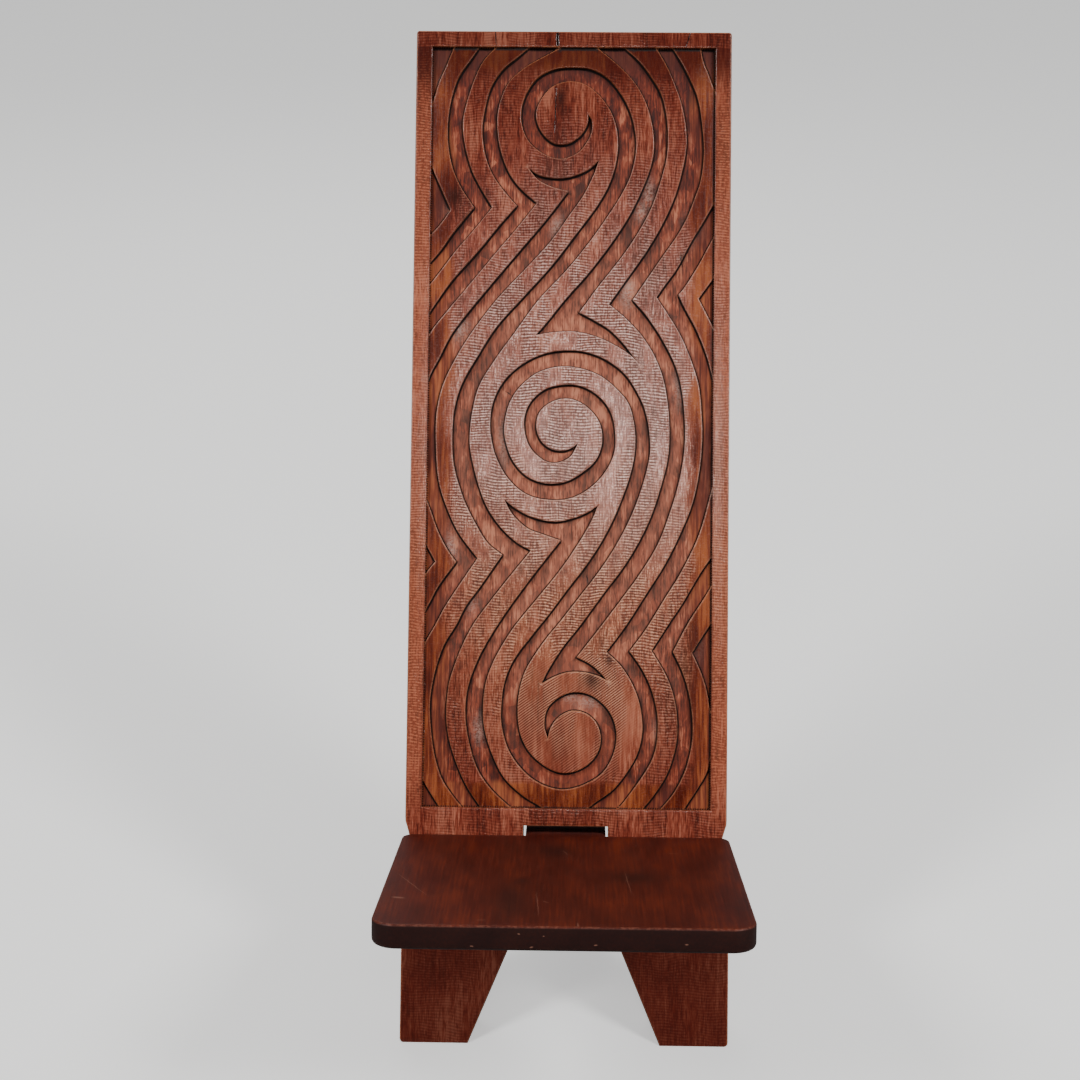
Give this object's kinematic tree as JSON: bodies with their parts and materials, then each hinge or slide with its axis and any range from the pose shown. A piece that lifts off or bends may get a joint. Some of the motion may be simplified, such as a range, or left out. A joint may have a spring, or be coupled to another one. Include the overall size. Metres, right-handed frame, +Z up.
{
  "type": "two-plank chair",
  "caption": "Low chair of two interlocking wooden planks: a tall carved back on two feet, and a seat plank that slides through its slot and rests on the floor behind.",
  "frame": {"origin": "on the floor, under the middle of the chair's overall box", "axes": "+Z up, +X across the chair, -Y out of the front of the seat"},
  "size_m": [0.352, 0.8091, 0.9473],
  "materials": {
    "carved_wood": "satin",
    "seat_wood": "semi-gloss"
  },
  "bodies": {
    "back": {"back_plank": "carved_wood"},
    "seat": {"seat_plank": "seat_wood"}
  },
  "joints": [
    {"name": "seat_slide", "type": "slide", "parent": "back", "child": "seat", "axis": [0, -0.9455, 0.3256], "range_m": [0, 0.55]}
  ]
}
